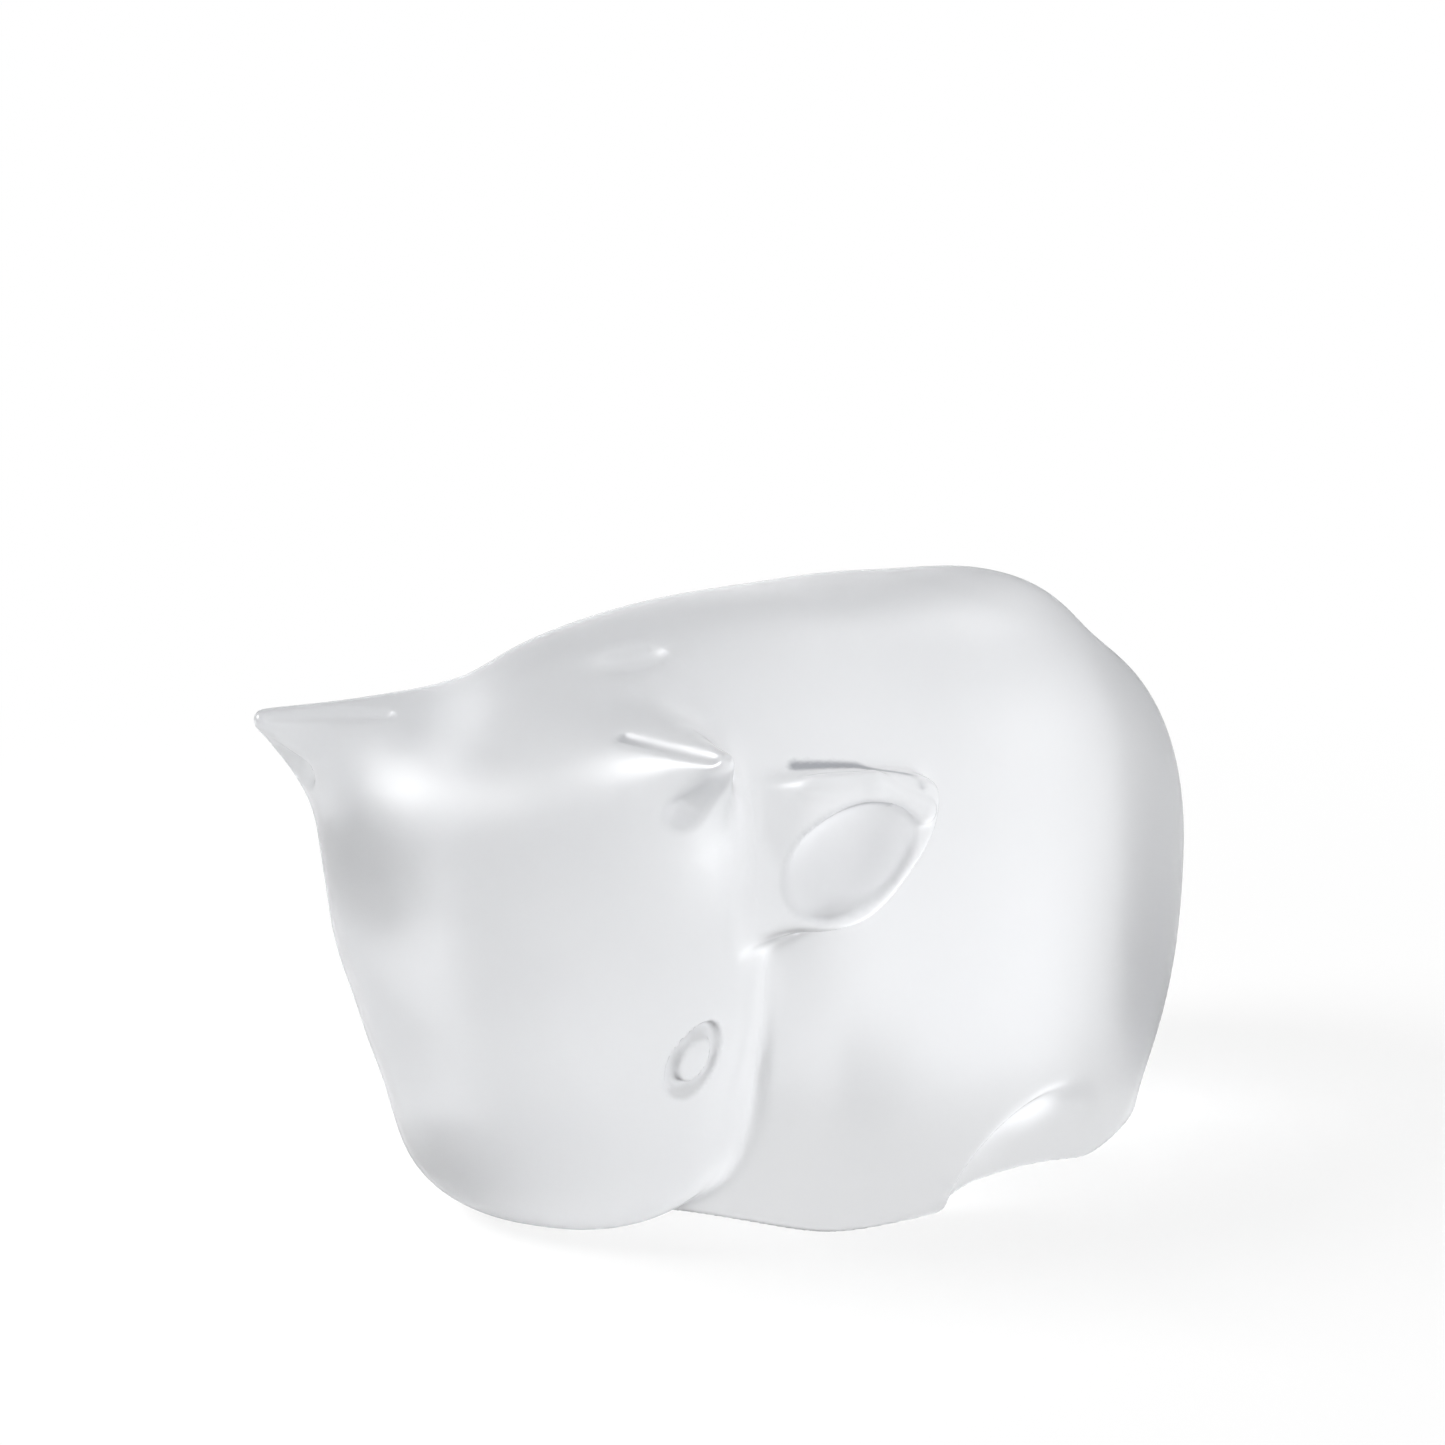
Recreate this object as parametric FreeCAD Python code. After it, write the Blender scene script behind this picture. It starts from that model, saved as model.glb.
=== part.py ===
import FreeCAD, Part
import math
import os

# Satin crystal bull, a compact collectible figurine cut as six bonded pieces of solid glass:
# a torso block, a turned head, two horns and two ears. Millimetres. +Z is up, the bull faces -X,
# and its near flank, the side the head is turned to, is -Y. Every piece is closed solid crystal.

os.makedirs("parts", exist_ok=True)
V = FreeCAD.Vector
DEG = math.radians

# ---------------------------------------------------------------- driving dimensions
BODY_LENGTH = 113.5          # the main block, before its front is ground to the chest faces
BODY_WIDTH = 75.0
BODY_HEIGHT = 90.3
BODY_MID_X = 24.0
BODY_SPRING_Z = 40.0         # height where the flank stops rising straight and rounds into the back
BODY_PLAN = 2.1              # exponent of the plan outline: 2 is an ellipse, higher is squarer
BODY_SIDE = 2.8              # exponent of the side outline
GROUND_FLARE = 150.0         # how slowly the flank draws in below the spring height

HAUNCH_MID = (54.5, 12.0, 43.0)
HAUNCH_SIZE = (54.6, 42.4, 75.0)
HAUNCH_FOOT = 54.5
HAUNCH_BLEND = 4.5

CROUP_MID = (50.5, 0.0, 72.5)   # the rounded rise of the back over the haunches
CROUP_SIZE = (38.0, 39.0, 32.4)
CROUP_BLEND = 5.6

CHEST_NEAR = (-4.5, -36.5)   # a plan point on the chest face towards the near flank
CHEST_NEAR_FACING = (-0.9, -0.43)
CHEST_FAR = (-31.0, 31.0)    # the same for the far chest face
CHEST_FAR_FACING = (-0.85, 0.53)
CHEST_EDGE = 6.0             # how soft the chest edges are

NECK_MID = (-15.5, 2.0, 68.0)
NECK_SIZE = (65.0, 51.6, 41.2)
NECK_BLEND = 20.0
NAPE_MID = (-27.0, -9.3, 87.6)     # shallow dent where the neck meets the head
NAPE_SIZE = (15.0, 8.0, 4.4)
NAPE_EDGE = 3.0

BELLY_MID = (30.8, 37.3, 1.5)   # scoop in each flank between the front leg and the hind leg
BELLY_SIZE = (36.4, 13.6, 21.6)
BELLY_TILT = -24.0
BELLY_EDGE = 4.0

HEAD_MID = (-31.5, 1.0, 40.0)
HEAD_TURN = 29.0             # the face looks this far round from straight ahead, to the near side
HEAD_BOW = 12.0              # and this far down
POLL_MID, POLL_SIZE, POLL_POWER = (4.9, 0.0, 16.9), (43.0, 60.0, 46.4), 2.5
BROW_MID, BROW_SIZE, BROW_POWER = (1.0, 0.0, -2.1), (44.4, 60.6, 49.6), 2.3
MUZZLE_MID, MUZZLE_SIZE, MUZZLE_POWER = (-1.2, 0.0, -23.4), (47.2, 53.4, 34.8), 2.3
FACE_BLEND = 13.0

HORN_ROOT = (1.0, 13.0, 27.0)     # in head axes: forwards, sideways, up
HORN_TIP = (14.0, 35.2, 43.2)
HORN_ROOT_RADIUS = 15.6
HORN_TIP_RADIUS = 1.7
HORN_BLEND = 14.0
HORN_PIECE = 13.0                 # length of the separate horn, from its joint to its tip
HORN_GROOVE = ((8.7, 18.4, 43.6), (14.6, 34.0, 45.0), (0.9, 1.3))   # along the top: start, end, radii
HORN_PIT = ((16.4, 30.2, 35.8), (16.2, 34.4, 40.0), (2.8, 1.4))     # hollow below the tip, the same way

EAR_NEAR = (-4.8, -34.0, 60.2)
EAR_FAR = (-23.5, 34.0, 60.2)
EAR_FACING = (-0.35, -0.93, 0.08)
EAR_POINTING = (0.93, -0.35, -0.08)
EAR_REACH = 13.6                  # from the ear's middle to its tip
EAR_ROOT = 17.0                   # from the middle back to the root
EAR_TOP = 11.6
EAR_BOTTOM = 11.8
EAR_SLOPE = 9.2                   # distance of the slanting lower edge from the middle
EAR_SLOPE_ANGLE = -36.9
EAR_RIM = 3.8                     # height of the rim over the ear's middle plane
EAR_DEPTH = 6.0                   # how far the blank reaches behind that plane
EAR_HOLLOW_SIZE = (22.4, 14.4, 9.6)
EAR_HOLLOW_TILT = 33.0
EAR_HOLLOW_LIFT = 4.2
EAR_ROLL = ((-13.5, 9.0, 2.4), (2.0, 9.7, 3.0), (9.8, 6.4, 3.2))    # middle line of the thick upper rim
EAR_ROLL_RADIUS = 2.2
EAR_SEAT = ((-11.0, 4.0, -8.5), (-10.0, -8.0, -7.5), (5.0, 5.5))    # swelling of the neck under the root
EAR_SEAT_BLEND = 8.0
EAR_FADE = (-0.69, 0.73, 8.2)     # plane that lets the ear run out into the neck at its root

NOSTRIL_NEAR_WAY = (13.0, 26.6, 4.4)   # in head axes, the way out to the nostril from the muzzle's core
NOSTRIL_FAR_WAY = (8.5, -26.6, 4.4)    # the far one sits a little further back
NOSTRIL_CORE = (0.0, 0.0, -10.0)
NOSTRIL_LEAN = (0.25, 0.0, 1.0)   # which way the long side of the ring runs
NOSTRIL_SIZE = (10.0, 7.2)
NOSTRIL_GROOVE = 1.1              # radius of the groove
NOSTRIL_SINK = 0.5                # the ring's middle lies this far below the skin

TORSO_BASE_EDGE = 1.5             # rounding where the sides meet the ground face
HEAD_BASE_EDGE = 0.4


# ---------------------------------------------------------------- small vector helpers
def unit(v):
    size = math.sqrt(sum(c * c for c in v))
    return tuple(c / size for c in v)


def dot(a, b):
    return a[0] * b[0] + a[1] * b[1] + a[2] * b[2]


def cross(a, b):
    return (a[1] * b[2] - a[2] * b[1], a[2] * b[0] - a[0] * b[2], a[0] * b[1] - a[1] * b[0])


def along(start, direction, distance):
    return tuple(s + d * distance for s, d in zip(start, direction))


class Axes:
    """A local frame: an origin and three unit directions."""

    def __init__(self, origin, first, second, third):
        self.origin = origin
        self.directions = (first, second, third)

    def inside(self, p):
        q = (p[0] - self.origin[0], p[1] - self.origin[1], p[2] - self.origin[2])
        return tuple(dot(q, d) for d in self.directions)

    def outside(self, q):
        p = self.origin
        for distance, direction in zip(q, self.directions):
            p = along(p, direction, distance)
        return p


# ---------------------------------------------------------------- shapes as distances, minus inside
def join(a, b, soft):
    h = max(soft - abs(a - b), 0.0) / soft
    return min(a, b) - h ** 3 * soft / 6


def carve(a, b, soft):
    h = max(soft - abs(a - b), 0.0) / soft
    return max(a, b) + h ** 3 * soft / 6


def pebble(q, size, plan, side=None, foot=None):
    """Rounded block about the origin; foot is its lower half height when that differs."""
    side = side or plan
    rx, ry, rz = size[0] / 2, size[1] / 2, size[2] / 2
    if foot and q[2] < 0:
        rz = foot
    x, y, z = abs(q[0]) / rx + 1e-6, abs(q[1]) / ry + 1e-6, abs(q[2]) / rz + 1e-6
    flat = x ** plan + y ** plan
    k = (flat ** (side / plan) + z ** side) ** (1 / side)
    steep = k ** (1 - side) * flat ** (side / plan - 1)
    slope = math.sqrt((steep * x ** (plan - 1) / rx) ** 2 + (steep * y ** (plan - 1) / ry) ** 2
                      + (k ** (1 - side) * z ** (side - 1) / rz) ** 2)
    return (k - 1) * max(1 / slope, 0.4 * min(rx, ry, rz))


def taper(q, start, end, start_radius, end_radius):
    """Round-ended cone between two points."""
    span = tuple(e - s for s, e in zip(start, end))
    rel = tuple(c - s for s, c in zip(start, q))
    length = math.sqrt(dot(span, span))
    drop = (start_radius - end_radius) / length
    grow = math.sqrt(1 - drop * drop)
    height = dot(rel, span) / length
    out = math.sqrt(max(dot(rel, rel) - height * height, 0.0))
    side = height * grow - out * drop
    if side < 0:
        return math.hypot(out, height) - start_radius
    if side > length * grow:
        return math.hypot(out, height - length) - end_radius
    return out * grow + height * drop - start_radius


def mirrored(q, side):
    return (q[0], q[1] * side, q[2])


turn, bow = DEG(HEAD_TURN), DEG(HEAD_BOW)
ahead = (-math.cos(turn), -math.sin(turn), 0.0)
head_axes = Axes(HEAD_MID,
                 (math.cos(bow) * ahead[0], math.cos(bow) * ahead[1], -math.sin(bow)),
                 (math.sin(turn), -math.cos(turn), 0.0),
                 (math.sin(bow) * ahead[0], math.sin(bow) * ahead[1], math.cos(bow)))


def ear_frame(middle, side):
    facing = unit(mirrored(EAR_FACING, side))
    pointing = mirrored(EAR_POINTING, side)
    pointing = unit(along(pointing, facing, -dot(pointing, facing)))
    upwards = cross(facing, pointing)
    if upwards[2] < 0:
        upwards = tuple(-c for c in upwards)
    return Axes(middle, pointing, upwards, facing)


ear_frames = (ear_frame(EAR_NEAR, 1), ear_frame(EAR_FAR, -1))


def moved(q, middle):
    return tuple(c - m for c, m in zip(q, middle))


def torso_block(p):
    d = pebble(moved(p, (BODY_MID_X, 0, BODY_SPRING_Z)),
               (BODY_LENGTH, BODY_WIDTH, 2 * (BODY_HEIGHT - BODY_SPRING_Z)),
               BODY_PLAN, BODY_SIDE, GROUND_FLARE)
    one_side = (p[0], abs(p[1]), p[2])
    d = join(d, pebble(moved(one_side, HAUNCH_MID), HAUNCH_SIZE, 2.2, foot=HAUNCH_FOOT), HAUNCH_BLEND)
    d = join(d, pebble(moved(p, CROUP_MID), CROUP_SIZE, 2.2), CROUP_BLEND)
    for point, facing in ((CHEST_NEAR, CHEST_NEAR_FACING), (CHEST_FAR, CHEST_FAR_FACING)):
        normal = unit((facing[0], facing[1], 0.0))
        d = carve(d, dot(moved(p, (point[0], point[1], 0.0)), normal), CHEST_EDGE)
    d = join(d, pebble(moved(p, NECK_MID), NECK_SIZE, 2.2), NECK_BLEND)
    d = carve(d, -pebble(moved(p, NAPE_MID), NAPE_SIZE, 2.0), NAPE_EDGE)
    for frame in ear_frames:
        d = join(d, taper(frame.inside(p), EAR_SEAT[0], EAR_SEAT[1], *EAR_SEAT[2]), EAR_SEAT_BLEND)
    lean = DEG(BELLY_TILT)
    q = moved(one_side, BELLY_MID)
    q = (q[0] * math.cos(lean) - q[2] * math.sin(lean), q[1], q[0] * math.sin(lean) + q[2] * math.cos(lean))
    return carve(d, -pebble(q, BELLY_SIZE, 2.0), BELLY_EDGE)


def head_block(p):
    q = head_axes.inside(p)
    d = pebble(moved(q, POLL_MID), POLL_SIZE, POLL_POWER)
    d = join(d, pebble(moved(q, BROW_MID), BROW_SIZE, BROW_POWER), FACE_BLEND)
    d = join(d, pebble(moved(q, MUZZLE_MID), MUZZLE_SIZE, MUZZLE_POWER), FACE_BLEND)
    for side in (-1, 1):
        cone = taper(mirrored(q, side), HORN_ROOT, HORN_TIP, HORN_ROOT_RADIUS, HORN_TIP_RADIUS)
        d = join(d, cone, HORN_BLEND)
    return d


def ear_outline(a, b):
    d = carve(b - EAR_TOP + 0.006 * (a - 2) ** 2, -b - EAR_BOTTOM + 0.004 * (a + 12) ** 2, 3.0)
    lean = DEG(EAR_SLOPE_ANGLE)
    d = carve(d, a * math.cos(lean) + b * math.sin(lean) - EAR_SLOPE, 7.0)
    return carve(carve(d, a - EAR_REACH, 6.0), -a - EAR_ROOT, 3.0)


def ear_blank(q):
    a, b, n = q
    d = carve(ear_outline(a, b), n - EAR_RIM + 0.04 * (a + 4), 3.0)
    for start, end in zip(EAR_ROLL, EAR_ROLL[1:]):
        d = join(d, taper(q, start, end, EAR_ROLL_RADIUS + 0.1, EAR_ROLL_RADIUS), 1.5)
    d = carve(d, EAR_FADE[0] * a + EAR_FADE[1] * n - EAR_FADE[2], 5.0)
    lean = DEG(EAR_HOLLOW_TILT)
    a, b = a + 1.2, b + 0.8
    hollow = (a * math.cos(lean) + b * math.sin(lean), b * math.cos(lean) - a * math.sin(lean),
              n - EAR_HOLLOW_LIFT)
    return carve(d, -pebble(hollow, EAR_HOLLOW_SIZE, 2.0), 0.8)


# ---------------------------------------------------------------- surfaces from the distances
def crossing(distance, start, direction, reach):
    """The point on the ray where the distance changes from minus to plus."""
    near, far = 0.0, reach
    for _ in range(18):
        middle = (near + far) / 2
        if distance(along(start, direction, middle)) < 0:
            near = middle
        else:
            far = middle
    return along(start, direction, near)


def smooth_solid(rows, tip):
    """A closed solid with a smooth skin through the rows of points, a flat end and a closed tip."""
    count = len(rows[0])
    points = [[V(*p) for p in row] for row in rows] + [[V(*tip)] * count]
    poles = []
    for level, row in enumerate(points[:-1]):
        line = []
        for i, point in enumerate(row):
            pull = row[i - 1] + row[(i + 1) % count] - point * 2
            if level > 2:
                pull = pull + points[level - 1][i] + points[level + 1][i] - point * 2
            line.append(point - pull / 6)
        poles.append(line)
    poles.append(points[-1])
    surface = Part.BSplineSurface()
    inner = len(poles) - 4
    surface.buildFromPolesMultsKnots(poles, [4] + [1] * inner + [4], [1] * (count + 1),
                                     list(range(inner + 2)), list(range(count + 1)),
                                     False, True, 3, 3)
    surface.setVNotPeriodic()
    skin = surface.toShape()
    rim = min((e for e in skin.Edges if not e.Degenerated and not e.isSeam(skin)),
              key=lambda e: e.distToShape(Part.Vertex(V(*rows[0][0])))[0])
    shell = Part.makeShell([skin, Part.Face(Part.Wire([rim]))])
    shell.sewShape()
    return Part.makeSolid(shell)


def grounded(distance, centre, columns, count, edge):
    """A block that stands on the ground, skinned from its ground outline up to its top."""
    def rounded(p):
        return carve(distance(p), -p[2], edge)

    steps = [(i / count) ** 1.5 for i in range(count)]
    rows = [[] for _ in steps]
    for column in range(columns):
        angle = 2 * math.pi * column / columns
        flat = (math.cos(angle), math.sin(angle), 0.0)
        foot = crossing(lambda p: distance(p) + edge, (centre[0], centre[1], 0.0), flat, 90.0)
        low = math.atan2(-centre[2], math.dist(foot[:2], centre[:2]))
        rows[0].append(foot)
        for row, step in zip(rows[1:], steps[1:]):
            rise = low + (math.pi / 2 - low) * step
            ray = (flat[0] * math.cos(rise), flat[1] * math.cos(rise), math.sin(rise))
            row.append(crossing(rounded, centre, ray, 130.0))
    return smooth_solid(rows, crossing(rounded, centre, (0.0, 0.0, 1.0), 130.0))


def horn_joint(side):
    """Middle of the flat joint between the head and a horn, and the way the horn points."""
    root = head_axes.outside(mirrored(HORN_ROOT, side))
    tip = head_axes.outside(mirrored(HORN_TIP, side))
    way = unit(moved(tip, root))
    return along(tip, way, -HORN_PIECE), way


def horn_solid(side):
    joint, way = horn_joint(side)
    across = unit(cross(way, (0.0, 0.0, 1.0)))
    other = cross(way, across)
    rows = []
    for row in range(14):
        rise = math.pi / 2 * (row / 14) ** 0.7
        line = []
        for column in range(28):
            angle = 2 * math.pi * column / 28
            ray = along((0.0, 0.0, 0.0), across, math.cos(angle) * math.cos(rise))
            ray = along(along(ray, other, math.sin(angle) * math.cos(rise)), way, math.sin(rise))
            line.append(crossing(head_block, joint, ray, 25.0))
        rows.append(line)
    return smooth_solid(rows, crossing(head_block, joint, way, 25.0))


def horn_space(side):
    """Everything beyond a horn's joint, taken off the head blank."""
    joint, way = horn_joint(side)
    return Part.makeCylinder(22.0, 2 * HORN_PIECE, V(*joint), V(*way))


def capsule(side, start, end, radii):
    """A rod with round ends, in head axes, that cuts a groove or a pit."""
    first, last = (V(*head_axes.outside(mirrored(point, side))) for point in (start, end))
    rod = Part.makeCone(radii[0], radii[1], (last - first).Length, first, last - first)
    return rod.fuse([Part.makeSphere(radii[0], first), Part.makeSphere(radii[1], last)])


def outward(distance, p, step=0.5):
    """Unit vector straight out of the surface at p."""
    ends = [(along(p, unit_axis, step), along(p, unit_axis, -step))
            for unit_axis in ((1, 0, 0), (0, 1, 0), (0, 0, 1))]
    return unit([distance(far) - distance(near) for far, near in ends])


def nostril_groove(way):
    core = head_axes.outside(NOSTRIL_CORE)
    way = moved(head_axes.outside(way), HEAD_MID)
    middle = crossing(head_block, core, unit(way), 60.0)
    facing = outward(head_block, middle)
    lean = along(NOSTRIL_LEAN, facing, -dot(NOSTRIL_LEAN, facing))
    ring = Part.Ellipse(V(0, 0, 0), NOSTRIL_SIZE[0] / 2, NOSTRIL_SIZE[1] / 2).toShape()
    start = V(NOSTRIL_SIZE[0] / 2, 0, 0)
    section = Part.Wire([Part.Circle(start, V(0, 1, 0), NOSTRIL_GROOVE).toShape()])
    groove = Part.Wire([ring]).makePipeShell([section], True, True)
    sunk = along(middle, facing, -NOSTRIL_SINK)
    groove.Placement = FreeCAD.Placement(V(*sunk), FreeCAD.Rotation(V(*lean), V(), V(*facing), "ZXY"))
    return groove


def ear_solid(frame):
    walls = [0.0, 0.35, 0.7]
    spans = [0.985, 0.95, 0.90, 0.85, 0.80, 0.75, 0.70, 0.64, 0.56, 0.46, 0.34, 0.22, 0.11]
    rows = [[] for _ in walls + spans]
    for column in range(48):
        angle = 2 * math.pi * column / 48
        flat = (math.cos(angle), math.sin(angle), 0.0)
        edge = crossing(lambda q: ear_outline(q[0], q[1]), (0.0, 0.0, 0.0), flat, 30.0)
        lows = [(edge[0] * span, edge[1] * span, -EAR_DEPTH) for span in spans]
        tops = [crossing(ear_blank, low, (0.0, 0.0, 1.0), 20.0) for low in lows]
        for row, share in zip(rows, walls):
            row.append(frame.outside((edge[0], edge[1], -EAR_DEPTH + share * (tops[0][2] + EAR_DEPTH))))
        for row, top in zip(rows[len(walls):], tops):
            row.append(frame.outside(top))
    tip = crossing(ear_blank, (0.0, 0.0, -EAR_DEPTH), (0.0, 0.0, 1.0), 20.0)
    return smooth_solid(rows, frame.outside(tip))


def largest(shape):
    return max(shape.Solids, key=lambda solid: solid.Volume)


# ---------------------------------------------------------------- the pieces
torso_blank = grounded(torso_block, (BODY_MID_X, 0.0, 42.0), 96, 44, TORSO_BASE_EDGE)
head_blank = grounded(head_block, (HEAD_MID[0] - 0.5, HEAD_MID[1] - 0.2, 42.0), 84, 40, HEAD_BASE_EDGE)

pieces = {"torso": largest(torso_blank.cut(head_blank))}
head = head_blank
for side, name, way in ((1, "horn_left", NOSTRIL_NEAR_WAY), (-1, "horn_right", NOSTRIL_FAR_WAY)):
    cuts = [capsule(side, *HORN_GROOVE), capsule(side, *HORN_PIT)]
    head = head.cut(horn_space(side)).cut([nostril_groove(way)] + cuts)
    pieces[name] = largest(horn_solid(side).cut(cuts))
pieces["head"] = largest(head)
pieces["ear_left"] = largest(ear_solid(ear_frames[0]).cut(torso_blank).cut(head_blank))
pieces["ear_right"] = largest(ear_solid(ear_frames[1]).cut(torso_blank).cut(head_blank))

# The origin is on the ground face, below the middle of the whole figure.
box = Part.makeCompound(list(pieces.values())).optimalBoundingBox(False, True)
middle = V(-box.Center.x, -box.Center.y, 0.0)
for name, shape in pieces.items():
    shape.translated(middle).exportStep("parts/" + name + ".step")
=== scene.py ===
import math

import bpy
import numpy as np
import openvdb
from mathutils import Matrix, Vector


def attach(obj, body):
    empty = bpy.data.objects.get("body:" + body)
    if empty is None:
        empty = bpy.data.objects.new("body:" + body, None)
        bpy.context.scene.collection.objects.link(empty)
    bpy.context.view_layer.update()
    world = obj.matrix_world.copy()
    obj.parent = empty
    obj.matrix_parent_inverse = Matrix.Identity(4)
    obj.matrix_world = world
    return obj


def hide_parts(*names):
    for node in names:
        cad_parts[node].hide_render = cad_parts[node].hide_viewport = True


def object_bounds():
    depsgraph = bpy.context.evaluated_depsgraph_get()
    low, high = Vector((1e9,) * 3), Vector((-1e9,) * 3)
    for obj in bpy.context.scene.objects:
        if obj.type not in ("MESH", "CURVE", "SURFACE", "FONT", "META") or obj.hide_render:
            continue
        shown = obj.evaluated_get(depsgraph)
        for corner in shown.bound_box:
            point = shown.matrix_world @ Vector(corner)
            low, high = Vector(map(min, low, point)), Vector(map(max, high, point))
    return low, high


# Satin crystal bull. The visible pieces are skins of one smooth shape, in millimetres in the design's
# own axes (+Z up, the bull faces -X), moved onto the frame and scaled to metres at the end.

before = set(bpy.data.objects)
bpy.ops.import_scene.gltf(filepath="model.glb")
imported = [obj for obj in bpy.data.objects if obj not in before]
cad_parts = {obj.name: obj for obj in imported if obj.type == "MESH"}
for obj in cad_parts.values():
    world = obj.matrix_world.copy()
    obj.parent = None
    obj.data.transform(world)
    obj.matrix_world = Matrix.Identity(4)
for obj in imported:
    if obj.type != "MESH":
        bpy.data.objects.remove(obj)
cad_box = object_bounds()

# ---------------------------------------------------------------- shape, as in the design
# FACE, the HORN places, NOSTRIL_CORE and NOSTRIL_WAYS are in head axes. EAR_SEAT, EAR_ROLL, EAR_BROW,
# EAR_HOLLOW_MID and EAR_HEEL are in ear axes. All other places and directions are in design axes.
SOFT_POWER = 2.2
BODY_MID, BODY_SIZE = (24.0, 0.0, 40.0), (113.5, 75.0, 100.6)
BODY_PLAN, BODY_SIDE, GROUND_FLARE = 2.1, 2.8, 150.0
HAUNCH_MID, HAUNCH_SIZE, HAUNCH_FOOT = (54.5, 12.0, 43.0), (54.6, 42.4, 75.0), 54.5
HAUNCH_BLEND = 4.5
CROUP_MID, CROUP_SIZE, CROUP_BLEND = (50.5, 0.0, 72.5), (38.0, 39.0, 32.4), 5.6
CHEST = (((-4.5, -36.5), (-0.9, -0.43)), ((-31.0, 31.0), (-0.85, 0.53)))
CHEST_EDGE = 6.0
NECK_MID, NECK_SIZE, NECK_BLEND = (-15.5, 2.0, 68.0), (65.0, 51.6, 41.2), 20.0
BELLY_MID, BELLY_SIZE, BELLY_TILT, BELLY_EDGE = (30.8, 37.3, 1.5), (36.4, 13.6, 21.6), -24.0, 4.0
HEAD_MID, HEAD_TURN, HEAD_BOW = (-31.5, 1.0, 40.0), 29.0, 12.0
FACE = (((4.9, 0.0, 16.9), (43.0, 60.0, 46.4), 2.5),
        ((1.0, 0.0, -2.1), (44.4, 60.6, 49.6), 2.3),
        ((-1.2, 0.0, -23.4), (47.2, 53.4, 34.8), 2.3))
FACE_BLEND = 13.0
HORN_ROOT, HORN_TIP, HORN_RADII, HORN_BLEND = (1.0, 13.0, 27.0), (14.0, 35.2, 43.2), (15.6, 1.7), 14.0
HORN_PIECE = 13.0
HORN_GROOVE = ((8.7, 18.4, 43.6), (14.6, 34.0, 45.0), (0.9, 1.3))
HORN_PIT = ((16.4, 30.2, 35.8), (16.2, 34.4, 40.0), (2.8, 1.4))
HORN_CUT_EDGE, HORN_REACH = 1.6, 12.0
NAPE_MID, NAPE_SIZE, NAPE_EDGE = (-27.0, -9.3, 87.6), (15.0, 8.0, 4.4), 3.0
EAR_SEAT, EAR_SEAT_BLEND = ((-11.0, 4.0, -8.5), (-10.0, -8.0, -7.5), (5.0, 5.5)), 8.0
EAR_MIDDLES = {1: (-4.8, -34.0, 60.2), -1: (-23.5, 34.0, 60.2)}
EAR_FACING, EAR_POINTING = (-0.35, -0.93, 0.08), (0.93, -0.35, -0.08)
EAR_ROLL = ((-13.5, 9.0, 2.4), (2.0, 9.7, 3.0), (9.8, 6.4, 3.2))
EAR_ROLL_RADIUS = 2.2
EAR_BROW = ((-8.0, 11.8, -3.0), (2.0, 11.8, -2.8), (7.0, 11.7, 0.5), (9.6, 9.6, 2.4))
EAR_HOLLOW_MID, EAR_HOLLOW_TILT, EAR_HOLLOW_SIZE = (-1.2, -0.8, 4.2), 33.0, (22.4, 14.4, 9.6)
EAR_LIP_SHARE, EAR_LIP_HEIGHT = 0.47, 3.2       # where the hollow's edge lies, for its shade
NOSTRIL_CORE, NOSTRIL_LEAN = (0.0, 0.0, -10.0), (0.25, 0.0, 1.0)
NOSTRIL_WAYS = {1: (13.0, 26.6, 4.4), -1: (8.5, -26.6, 4.4)}
NOSTRIL_SIZE, NOSTRIL_GROOVE, NOSTRIL_SINK, NOSTRIL_EDGE = (10.0, 7.2), 1.1, 0.5, 0.6
NECK_CREASE, EAR_CREASE = 8.0, 3.0
EAR_HEEL, EAR_HEEL_REACH, EAR_HEEL_CREASE = (-14.5, -10.5, -1.0), 12.0, 10.0
GROUND_EDGE = 1.5
GRID = 0.65

# How far from its line each polish and each painted shade reaches (mm), and how strong it is there.
TIP_POLISH = (3.4, 0.9)
NOSTRIL_POLISH, NOSTRIL_SHADE = (2.0, 0.5), (1.8, 0.35)
GROOVE_SHADE, PIT_SHADE = (1.5, 1.0), (4.4, 0.45)
BROW_SHADE, LIP_SHADE, HOLLOW_SHADE = (1.3, 0.85), (1.2, 0.55), (1.2, 0.22)


def rad(angle):
    return math.radians(angle)


def unit(v):
    v = np.array(v, float)
    return v / np.linalg.norm(v)


def join(a, b, soft):
    """Union of two distances, rounded over the length soft."""
    h = np.maximum(soft - np.abs(a - b), 0) / soft
    return np.minimum(a, b) - h ** 3 * soft / 6


def carve(a, b, soft):
    """Common part of two distances, rounded over the length soft."""
    return -join(-a, -b, soft)


def pebble(q, size, plan, side=None, foot=None):
    """Rounded block about the origin; foot is its lower half height when that differs."""
    side = side or plan
    r = np.broadcast_to(np.array(size) / 2, q.shape).copy()
    if foot:
        r[..., 2] = np.where(q[..., 2] < 0, foot, r[..., 2])
    a = np.abs(q) / r + 1e-6
    flat = a[..., 0] ** plan + a[..., 1] ** plan
    k = (flat ** (side / plan) + a[..., 2] ** side) ** (1 / side)
    steep = k ** (1 - side) * flat ** (side / plan - 1)
    slope = np.sqrt((steep * a[..., 0] ** (plan - 1) / r[..., 0]) ** 2
                    + (steep * a[..., 1] ** (plan - 1) / r[..., 1]) ** 2
                    + (k ** (1 - side) * a[..., 2] ** (side - 1) / r[..., 2]) ** 2)
    return (k - 1) * np.maximum(1 / slope, 0.4 * np.min(r, axis=-1))


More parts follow.
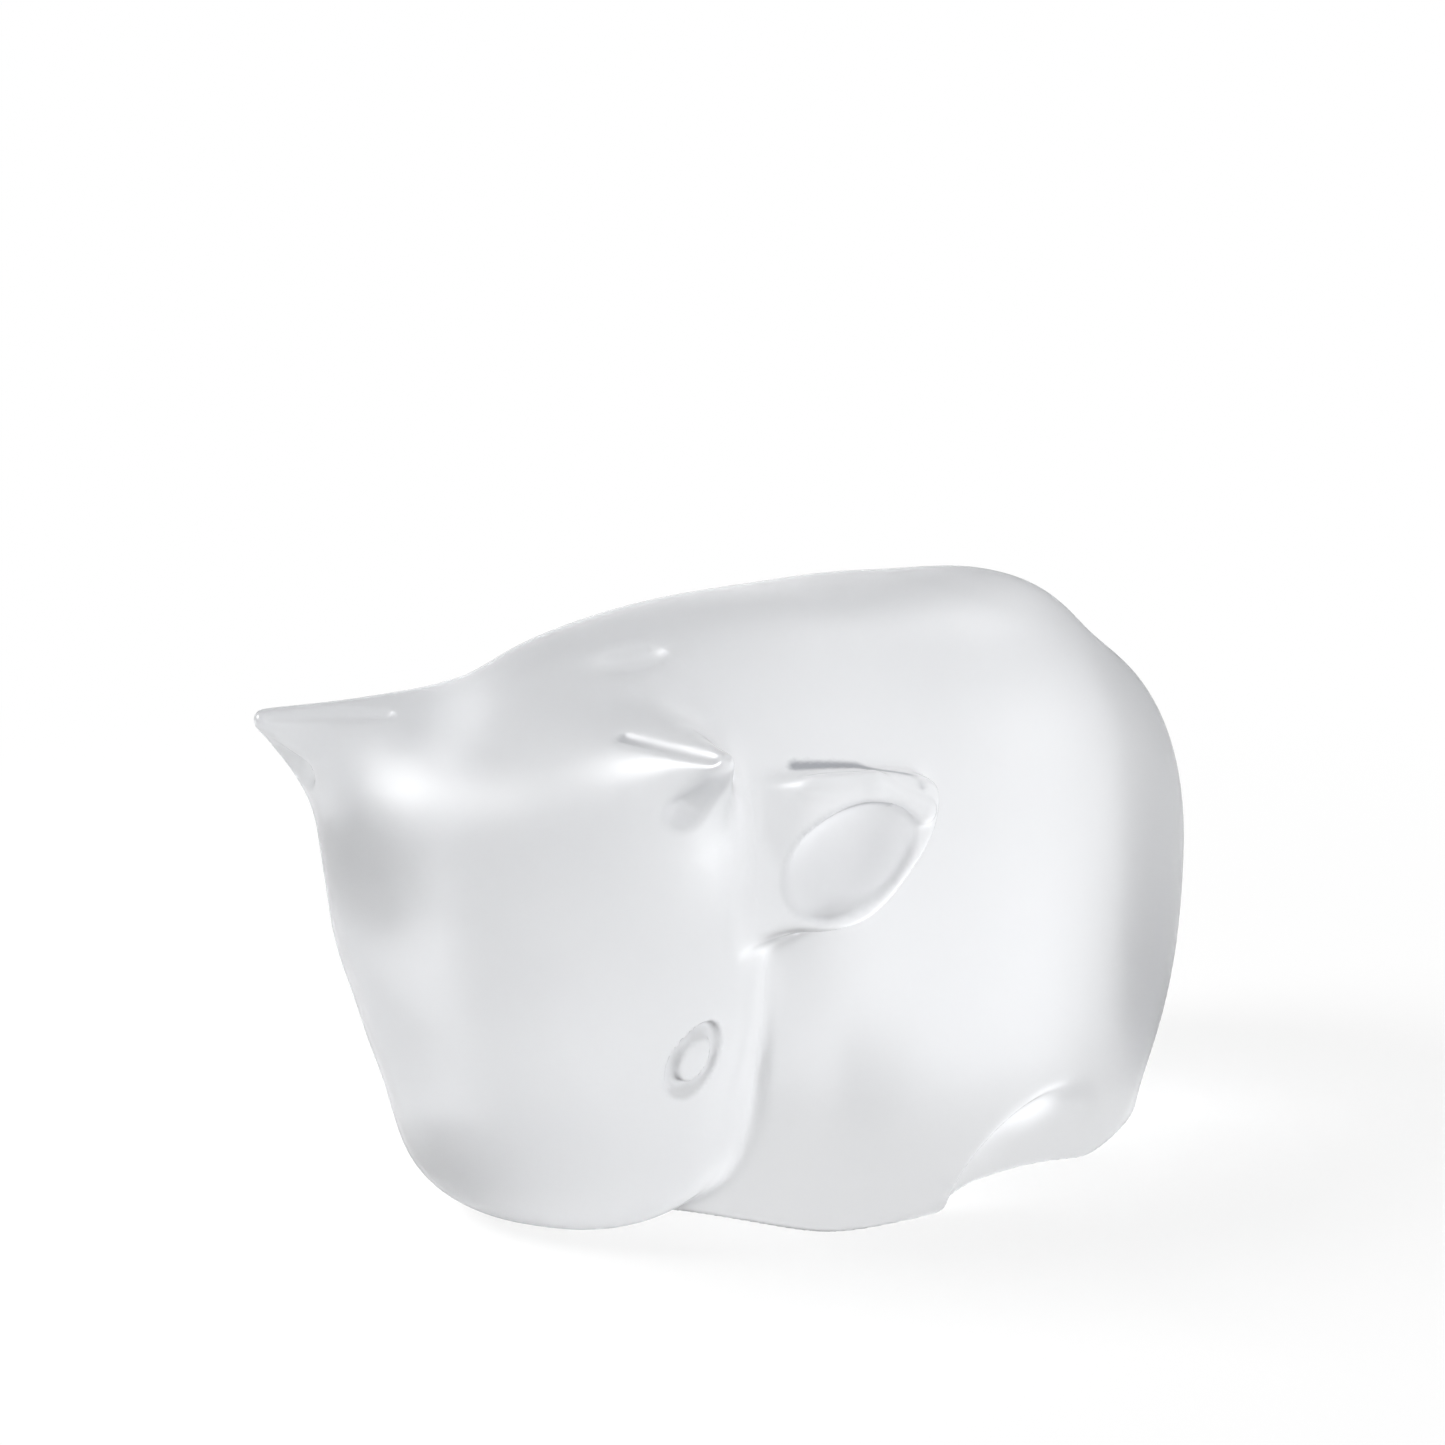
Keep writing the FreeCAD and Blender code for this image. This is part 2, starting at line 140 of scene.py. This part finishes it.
def taper(q, start, end, radii):
    """Round-ended cone between two points."""
    span = np.subtract(end, start)
    length = np.linalg.norm(span)
    drop = (radii[0] - radii[1]) / length
    grow = math.sqrt(1 - drop * drop)
    rel = q - start
    height = rel @ span / length
    out = np.sqrt(np.maximum((rel * rel).sum(-1) - height ** 2, 0))
    side = height * grow - out * drop
    near = np.hypot(out, height) - radii[0]
    far = np.hypot(out, height - length) - radii[1]
    return np.where(side < 0, near, np.where(side > length * grow, far,
                                             out * grow + height * drop - radii[0]))


ahead = np.array([-math.cos(rad(HEAD_TURN)), -math.sin(rad(HEAD_TURN)), 0.0])
up = np.array([0.0, 0.0, 1.0])
head_axes = np.stack([math.cos(rad(HEAD_BOW)) * ahead - math.sin(rad(HEAD_BOW)) * up,
                      [math.sin(rad(HEAD_TURN)), -math.cos(rad(HEAD_TURN)), 0.0],
                      math.sin(rad(HEAD_BOW)) * ahead + math.cos(rad(HEAD_BOW)) * up], axis=1)


def head_point(q):
    """Head axes to design axes."""
    return np.array(HEAD_MID) + head_axes @ np.array(q, float)


def ear_axes(side):
    """Columns: along the ear, up across it, and outward. Side 1 is the near ear."""
    mirror = np.array([1.0, side, 1.0])
    facing = unit(np.array(EAR_FACING) * mirror)
    pointing = np.array(EAR_POINTING) * mirror
    pointing = unit(pointing - facing * (pointing @ facing))
    upwards = np.cross(facing, pointing)
    return np.stack([pointing, upwards * np.sign(upwards[2]), facing], axis=1)


def torso_block(p):
    """Body, haunches, croup, chest faces, neck, nape dent, ear seats and flank scoops."""
    d = pebble(p - BODY_MID, BODY_SIZE, BODY_PLAN, BODY_SIDE, GROUND_FLARE)
    one_side = p * (1, 0, 1) + np.abs(p) * (0, 1, 0)
    d = join(d, pebble(one_side - HAUNCH_MID, HAUNCH_SIZE, SOFT_POWER, foot=HAUNCH_FOOT), HAUNCH_BLEND)
    d = join(d, pebble(p - CROUP_MID, CROUP_SIZE, SOFT_POWER), CROUP_BLEND)
    for point, facing in CHEST:
        d = carve(d, (p[..., :2] - point) @ unit(facing), CHEST_EDGE)
    d = join(d, pebble(p - NECK_MID, NECK_SIZE, SOFT_POWER), NECK_BLEND)
    d = carve(d, -pebble(p - NAPE_MID, NAPE_SIZE, 2.0), NAPE_EDGE)
    for side in (-1, 1):
        q = (p - EAR_MIDDLES[side]) @ ear_axes(side)
        d = join(d, taper(q, *EAR_SEAT), EAR_SEAT_BLEND)
    q = one_side - BELLY_MID
    c, s = math.cos(rad(BELLY_TILT)), math.sin(rad(BELLY_TILT))
    q = np.stack([q[..., 0] * c - q[..., 2] * s, q[..., 1], q[..., 0] * s + q[..., 2] * c], -1)
    return carve(d, -pebble(q, BELLY_SIZE, 2.0), BELLY_EDGE)


def head_block(p):
    """The face's three masses and both horns, before the fine cuts."""
    q = (p - HEAD_MID) @ head_axes
    d = None
    for middle, size, power in FACE:
        part = pebble(q - middle, size, power)
        d = part if d is None else join(d, part, FACE_BLEND)
    for side in (-1, 1):
        d = join(d, taper(q * (1, side, 1), HORN_ROOT, HORN_TIP, HORN_RADII), HORN_BLEND)
    return d


def head_cut(p):
    """The head with its fine cuts: horn grooves, the pits below the horns and the nostril rings."""
    d = head_block(p)
    q = (p - HEAD_MID) @ head_axes
    for side in (-1, 1):
        for start, end, radii in (HORN_GROOVE, HORN_PIT):
            d = carve(d, -taper(q * (1, side, 1), start, end, radii), HORN_CUT_EDGE)
        d = carve(d, NOSTRIL_GROOVE - nostril_ring(p, side), NOSTRIL_EDGE)
    return d


def nostril_ring(p, side):
    """Distance from the middle line of a nostril's ring."""
    middle, axes = nostrils[side]
    q = (p - middle) @ axes
    around = np.hypot(q[..., 0] / NOSTRIL_SIZE[0], q[..., 1] / NOSTRIL_SIZE[1]) * 2
    return np.hypot((around - 1) * sum(NOSTRIL_SIZE) / 4, q[..., 2] + NOSTRIL_SINK)


def ear_hollow(q):
    """The hollow of the ear, in ear axes."""
    c, s = math.cos(rad(EAR_HOLLOW_TILT)), math.sin(rad(EAR_HOLLOW_TILT))
    a, b, n = np.moveaxis(q - np.array(EAR_HOLLOW_MID), -1, 0)
    return pebble(np.stack([a * c + b * s, b * c - a * s, n], -1), EAR_HOLLOW_SIZE, 2.0)


def ear_block(p, side):
    q = (p - EAR_MIDDLES[side]) @ ear_axes(side)
    a, b, n = np.moveaxis(q, -1, 0)
    # upper and lower edges, the slanted end, tip and root, then the face and back
    d = carve(b - 11.6 + 0.006 * (a - 2) ** 2, -b - 11.8 + 0.004 * (a + 12) ** 2, 3.0)
    d = carve(d, a * 0.8 - b * 0.6 - 9.2, 7.0)
    d = carve(carve(d, a - 13.6, 6.0), -a - 17.0, 3.0)
    d = carve(carve(d, n - 3.8 + 0.04 * (a + 4), 3.0), -n - 6.0, 1.0)
    for start, end in zip(EAR_ROLL, EAR_ROLL[1:]):
        d = join(d, taper(q, start, end, (EAR_ROLL_RADIUS + 0.1, EAR_ROLL_RADIUS)), 1.5)
    d = carve(d, 0.73 * n - 0.69 * a - 8.2, 5.0)
    return carve(d, -ear_hollow(q), 0.8)


def nostril_frame(side):
    """Middle of a nostril on the skin, and its axes: long way, short way and outward."""
    core = head_point(NOSTRIL_CORE)
    way = unit(head_axes @ NOSTRIL_WAYS[side])
    near, far = 0.0, 60.0
    for _ in range(30):
        half = (near + far) / 2
        near, far = (half, far) if head_block((core + way * half)[None])[0] < 0 else (near, half)
    middle = core + way * near
    facing = unit([(head_block((middle + 0.5 * e)[None]) - head_block((middle - 0.5 * e)[None]))[0]
                   for e in np.eye(3)])
    lean = np.array(NOSTRIL_LEAN)
    lean = unit(lean - facing * (lean @ facing))
    return middle, np.stack([lean, np.cross(facing, lean), facing], axis=1)


nostrils = {side: nostril_frame(side) for side in (-1, 1)}


def whole(p):
    """The figure above the ground face. The crease at the lower root of each ear is filled."""
    d = join(torso_block(p), head_cut(p), NECK_CREASE)
    for side in (-1, 1):
        heel = np.linalg.norm((p - EAR_MIDDLES[side]) @ ear_axes(side) - EAR_HEEL, axis=-1)
        heel = np.clip(1 - heel / EAR_HEEL_REACH, 0, 1)
        d = join(d, ear_block(p, side), EAR_CREASE + EAR_HEEL_CREASE * heel)
    return carve(d, -p[..., 2], GROUND_EDGE)


# ---------------------------------------------------------------- skinning
def sample(field, low, shape, step):
    """Field values on a grid, exact near the surface and coarse away from it."""
    rough = 4
    coarse_shape = [n // rough + 2 for n in shape]
    axes = [low[i] + step * rough * np.arange(coarse_shape[i]) for i in range(3)]
    coarse = field(np.stack(np.meshgrid(*axes, indexing="ij"), -1))
    fine = coarse.repeat(rough, 0).repeat(rough, 1).repeat(rough, 2)
    fine = fine[:shape[0], :shape[1], :shape[2]].copy()
    near = np.abs(fine) < step * rough * 2.2
    index = np.argwhere(near)
    values = np.empty(len(index))
    for start in range(0, len(index), 400000):
        chunk = index[start:start + 400000]
        values[start:start + 400000] = field(chunk * step + low)
    fine[near] = values
    return fine


def settle(field, points, rounds=3):
    """Move the points along the field's slope onto its surface."""
    step = 0.05
    for _ in range(rounds):
        slope = np.stack([field(points + step * axis) - field(points - step * axis)
                          for axis in np.eye(3)], -1) / (2 * step)
        size = np.maximum((slope ** 2).sum(-1, keepdims=True), 0.05)
        points = points - slope * np.clip(field(points)[:, None] / size, -0.5, 0.5)
    return points


def skin(field, low, high, step):
    """Points and quads of the surface inside a box."""
    low = np.array(low, float)
    shape = [int(math.ceil((h - l) / step)) + 1 for l, h in zip(low, high)]
    grid = openvdb.FloatGrid(background=step * 9)
    grid.copyFromArray(sample(field, low, shape, step).astype(np.float32))
    points, quads = grid.convertToQuads(isovalue=0.0)
    return settle(field, points * step + low), quads


points, quads = skin(whole, (-82, -48, -2), (86, 48, 96), GRID)

# ---------------------------------------------------------------- pieces on the frame
def horn_joint(side):
    """Where a horn's own piece starts, and the way to its tip."""
    root, tip = (head_point(np.array(p) * (1, side, 1)) for p in (HORN_ROOT, HORN_TIP))
    way = unit(tip - root)
    return tip - way * HORN_PIECE, way


def sort_points(p):
    """Which node each point belongs to."""
    names = ["torso", "head", "ear_left", "ear_right", "horn_left", "horn_right"]
    owner = np.argmin([torso_block(p), head_block(p), ear_block(p, 1), ear_block(p, -1)], axis=0)
    for number, side in ((4, 1), (5, -1)):
        joint, way = horn_joint(side)
        rel = p - joint
        beyond = rel @ way
        across = np.linalg.norm(rel - beyond[:, None] * way, axis=1)
        owner[(beyond > 0) & (across < HORN_REACH) & (owner == 1)] = number
    return names, owner


# The skin stands on the ground face, centred over it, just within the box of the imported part.
FIT_MARGIN = 0.9999
cad_low, cad_high = np.array(cad_box[0]) * 1000, np.array(cad_box[1]) * 1000
low, high = points.min(0), points.max(0)
FIT = float(np.min((cad_high - cad_low) / (high - low))) * FIT_MARGIN
shift = np.array([(cad_low[0] + cad_high[0]) / FIT - low[0] - high[0],
                  (cad_low[1] + cad_high[1]) / FIT - low[1] - high[1], 0.0]) / 2


def place(p):
    """Design millimetres to frame metres."""
    return (np.asarray(p, float) + shift) * FIT / 1000


def near_line(p, stops):
    """Distance from a chain of straight segments."""
    best = np.full(len(p), 1e3)
    for start, end in zip(stops, stops[1:]):
        span = np.subtract(end, start)
        share = np.clip((p - start) @ span / (span @ span), 0, 1)
        best = np.minimum(best, np.linalg.norm(p - start - share[:, None] * span, axis=1))
    return best


def hollow_lip():
    """The upper edge of the ear's hollow, in ear axes."""
    c, s = math.cos(rad(EAR_HOLLOW_TILT)), math.sin(rad(EAR_HOLLOW_TILT))
    stops = []
    for turn in range(30, 171, 20):
        a = math.cos(rad(turn)) * EAR_HOLLOW_SIZE[0] * EAR_LIP_SHARE
        b = math.sin(rad(turn)) * EAR_HOLLOW_SIZE[1] * EAR_LIP_SHARE
        stops.append((EAR_HOLLOW_MID[0] + a * c - b * s, EAR_HOLLOW_MID[1] + a * s + b * c, EAR_LIP_HEIGHT))
    return stops


def polish_and_painted_shade_of(p):
    """How glossy each point is, and how much painted shade darkens it: 0 on the open satin skin, up to 1 in
    the cuts.
    """
    shine, shade = np.zeros(len(p)), np.zeros(len(p))

    def add(layer, distance, reach, most):
        share = np.clip((1 - distance / reach) * 1.5, 0, 1)
        np.maximum(layer, most * share * share * (3 - 2 * share), out=layer)

    q = (p - HEAD_MID) @ head_axes
    tip = (HORN_TIP, np.add(HORN_TIP, 0.1))
    for side in (-1, 1):
        one_side = q * (1, side, 1)
        add(shine, near_line(one_side, tip), *TIP_POLISH)
        add(shine, nostril_ring(p, side), *NOSTRIL_POLISH)
        # painted shade around the nostril rings
        add(shade, nostril_ring(p, side), *NOSTRIL_SHADE)
        # painted shade darkens the near horn's groove and pit only
        if side == 1:                           # the far horn's cuts stay as light as its skin
            add(shade, near_line(one_side, HORN_GROOVE[:2]), *GROOVE_SHADE)
            add(shade, near_line(one_side, HORN_PIT[:2]), *PIT_SHADE)
        ear = (p - EAR_MIDDLES[side]) @ ear_axes(side)
        # painted shade along the ear's brow, along the hollow's upper lip and inside the hollow
        add(shade, near_line(ear, EAR_BROW), *BROW_SHADE)
        add(shade, near_line(ear, hollow_lip()), *LIP_SHADE)
        add(shade, np.abs(ear_hollow(ear)), *HOLLOW_SHADE)
    return shine, shade


def add_piece(name, points, quads, material):
    """One piece of the skin, with its polish and painted shade stored on the points."""
    used, index = np.unique(quads, return_inverse=True)
    mesh = bpy.data.meshes.new(name)
    mesh.from_pydata(place(points[used]).tolist(), [], index.reshape(-1, 4).tolist())
    mesh.shade_smooth()
    for layer, values in zip(("polish", "shade"), polish_and_painted_shade_of(points[used])):
        attribute = mesh.attributes.new(layer, "FLOAT", "POINT")
        attribute.data.foreach_set("value", values.astype(np.float32))
    mesh.materials.append(material)
    piece = bpy.data.objects.new(name, mesh)
    bpy.context.scene.collection.objects.link(piece)
    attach(piece, "root")
    return piece


def add_node(nodes, kind, **values):
    """A shader node with some inputs set; an underscore stands for a space in a socket's name."""
    node = nodes.new(kind)
    for socket, value in values.items():
        node.inputs[socket.replace("_", " ")].default_value = value
    return node


def point_value(nodes, name):
    """The value that the points carry under this name."""
    node = nodes.new("ShaderNodeAttribute")
    node.attribute_name = name
    return node.outputs["Fac"]


def crystal(name, roughness):
    """Etched glass with painted shade: the colour darkens where "shade" is high, and the glass is clearer
    where "polish" is high.
    """
    material = bpy.data.materials.new(name)
    material.use_nodes = True
    nodes, links = material.node_tree.nodes, material.node_tree.links
    shader = nodes["Principled BSDF"]
    shader.inputs["Transmission Weight"].default_value = 1.0
    shader.inputs["IOR"].default_value = GLASS_IOR
    tint = nodes.new("ShaderNodeMix")
    tint.data_type = "RGBA"
    open_tint, painted_shade_tint, tint_with_painted_shade = tint.inputs[6], tint.inputs[7], tint.outputs[2]
    open_tint.default_value = GLASS_TINT
    painted_shade_tint.default_value = PAINTED_SHADE_TINT
    links.new(point_value(nodes, "shade"), tint.inputs["Factor"])
    links.new(tint_with_painted_shade, shader.inputs["Base Color"])

    place_node = nodes.new("ShaderNodeTexCoord")
    grain = add_node(nodes, "ShaderNodeTexNoise", Scale=60.0)
    links.new(place_node.outputs["Object"], grain.inputs["Vector"])
    satin = add_node(nodes, "ShaderNodeMapRange", To_Min=roughness - SATIN_SPREAD,
                     To_Max=roughness + SATIN_SPREAD)
    links.new(grain.outputs["Fac"], satin.inputs["Value"])
    gloss = add_node(nodes, "ShaderNodeMapRange", To_Max=POLISHED_ROUGHNESS)
    links.new(point_value(nodes, "polish"), gloss.inputs["Value"])
    links.new(satin.outputs["Result"], gloss.inputs["To Min"])
    links.new(gloss.outputs["Result"], shader.inputs["Roughness"])

    etch = add_node(nodes, "ShaderNodeTexNoise", Scale=1500.0)
    links.new(place_node.outputs["Object"], etch.inputs["Vector"])
    bump = add_node(nodes, "ShaderNodeBump", Strength=0.2, Distance=0.00003)
    links.new(etch.outputs["Fac"], bump.inputs["Height"])
    links.new(bump.outputs["Normal"], shader.inputs["Normal"])
    return material


GLASS_IOR = 1.53
# The second colour is painted shade. It is a dark colour mixed into the glass along the horn groove and
# pit, the ear's brow, lip and hollow, and the nostril rings, and it stands in for the dark lines that
# refraction makes there.
GLASS_TINT, PAINTED_SHADE_TINT = (0.93, 0.94, 0.96, 1), (0.1, 0.11, 0.14, 1)
SATIN_ROUGHNESS, SATIN_SPREAD, POLISHED_ROUGHNESS = 0.45, 0.03, 0.28
satin = crystal("satin_crystal", SATIN_ROUGHNESS)
names, owner = sort_points(points)
quad_owner = np.array([np.bincount(q, minlength=6).argmax() for q in owner[quads]])
for number, name in enumerate(names):
    piece = add_piece(name + "_crystal", points, quads[quad_owner == number], satin)
    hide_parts(name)

# ---------------------------------------------------------------- stage
FLOOR_REACH = 30.0
FLOOR_THROUGH_GLASS = 0.72      # share of the floor's glow that is seen through the glass
FLOOR_FADE, FLOOR_GLOW = (0.05, 0.35), (0.86, 1.0)


def pale_floor():
    """A diffuse floor that takes the shadow, with a glow that fills in away from the figure."""
    material = bpy.data.materials.new("pale_floor")
    material.use_nodes = True
    nodes, links = material.node_tree.nodes, material.node_tree.links
    nodes.clear()
    output = nodes.new("ShaderNodeOutputMaterial")
    diffuse = add_node(nodes, "ShaderNodeBsdfDiffuse", Color=(0.95, 0.95, 0.95, 1))
    glow = add_node(nodes, "ShaderNodeEmission", Strength=1.0)
    blend = nodes.new("ShaderNodeMixShader")
    ray = nodes.new("ShaderNodeLightPath")
    through, either, share = (nodes.new("ShaderNodeMath") for _ in range(3))
    through.operation = share.operation = "MULTIPLY"
    either.operation = "MAXIMUM"
    through.inputs[1].default_value = FLOOR_THROUGH_GLASS
    links.new(ray.outputs["Is Camera Ray"], either.inputs[0])
    links.new(ray.outputs["Is Transmission Ray"], through.inputs[0])
    links.new(through.outputs[0], either.inputs[1])
    links.new(either.outputs[0], share.inputs[0])
    spot = nodes.new("ShaderNodeTexCoord")
    away = nodes.new("ShaderNodeVectorMath")
    away.operation = "LENGTH"
    fade = add_node(nodes, "ShaderNodeMapRange", From_Min=FLOOR_FADE[0], From_Max=FLOOR_FADE[1],
                    To_Min=FLOOR_GLOW[0], To_Max=FLOOR_GLOW[1])
    fade.interpolation_type = "SMOOTHSTEP"
    links.new(spot.outputs["Object"], away.inputs[0])
    links.new(away.outputs["Value"], fade.inputs["Value"])
    links.new(fade.outputs["Result"], share.inputs[1])
    links.new(share.outputs[0], blend.inputs["Fac"])
    links.new(diffuse.outputs[0], blend.inputs[1])
    links.new(glow.outputs[0], blend.inputs[2])
    links.new(blend.outputs[0], output.inputs["Surface"])
    return material


mesh = bpy.data.meshes.new("floor")
mesh.from_pydata([(-FLOOR_REACH, -FLOOR_REACH, 0), (FLOOR_REACH, -FLOOR_REACH, 0),
                  (FLOOR_REACH, FLOOR_REACH, 0), (-FLOOR_REACH, FLOOR_REACH, 0)], [], [(0, 1, 2, 3)])
mesh.materials.append(pale_floor())
floor = bpy.data.objects.new("floor", mesh)
bpy.context.scene.collection.objects.link(floor)

world = bpy.data.worlds.new("studio")
bpy.context.scene.world = world
world.use_nodes = True
nodes, links = world.node_tree.nodes, world.node_tree.links
nodes.clear()
output = nodes.new("ShaderNodeOutputWorld")
seen = add_node(nodes, "ShaderNodeBackground", Color=(1, 1, 1, 1), Strength=1.0)
lit = add_node(nodes, "ShaderNodeBackground", Strength=0.05)
blend = nodes.new("ShaderNodeMixShader")
ray = nodes.new("ShaderNodeLightPath")
links.new(ray.outputs["Is Camera Ray"], blend.inputs["Fac"])
links.new(lit.outputs[0], blend.inputs[1])
links.new(seen.outputs[0], blend.inputs[2])
links.new(blend.outputs[0], output.inputs["Surface"])


def direction(turn, rise):
    """Unit vector out of the middle towards a lamp or the camera, angles in degrees."""
    turn, rise = rad(turn), rad(rise)
    return Vector((math.sin(turn) * math.cos(rise), -math.cos(turn) * math.cos(rise), math.sin(rise)))


LAMP_AIM, LAMP_DISTANCE = (0, 0, 0.045), 0.9


def softbox(name, turn, rise, size, power):
    lamp = bpy.data.lights.new(name, "AREA")
    lamp.shape = "DISK"
    lamp.size = size
    lamp.energy = power
    thing = bpy.data.objects.new(name, lamp)
    thing.location = Vector(LAMP_AIM) + direction(turn, rise) * LAMP_DISTANCE
    thing.rotation_euler = direction(turn, rise).to_track_quat("Z", "Y").to_euler()
    bpy.context.scene.collection.objects.link(thing)


# Turn, rise (degrees), size (m) and power (W) of each softbox.
softbox("left", -124, 40, 0.42, 12.5)
softbox("back", 145, 5, 0.36, 0.7)
softbox("back_right", 107, 40, 0.36, 1.0)
softbox("back_left", 185, 20, 0.36, 0.6)
softbox("right", 55, 15, 0.4, 1.2)

VIEW_TURN, VIEW_RISE, VIEW_DISTANCE, VIEW_AIM = -40.0, 14.0, 520.0, (0.0, 0.0, 72.0)
VIEW_LENS = 85.0
back = direction(VIEW_TURN, VIEW_RISE)
camera_data = bpy.data.cameras.new("camera")
camera_data.lens = VIEW_LENS
camera = bpy.data.objects.new("camera", camera_data)
camera.location = Vector(place(np.array(VIEW_AIM) + np.array(back) * VIEW_DISTANCE))
camera.rotation_euler = back.to_track_quat("Z", "Y").to_euler()
bpy.context.scene.collection.objects.link(camera)
bpy.context.scene.camera = camera
bpy.context.scene.view_settings.view_transform = "Standard"
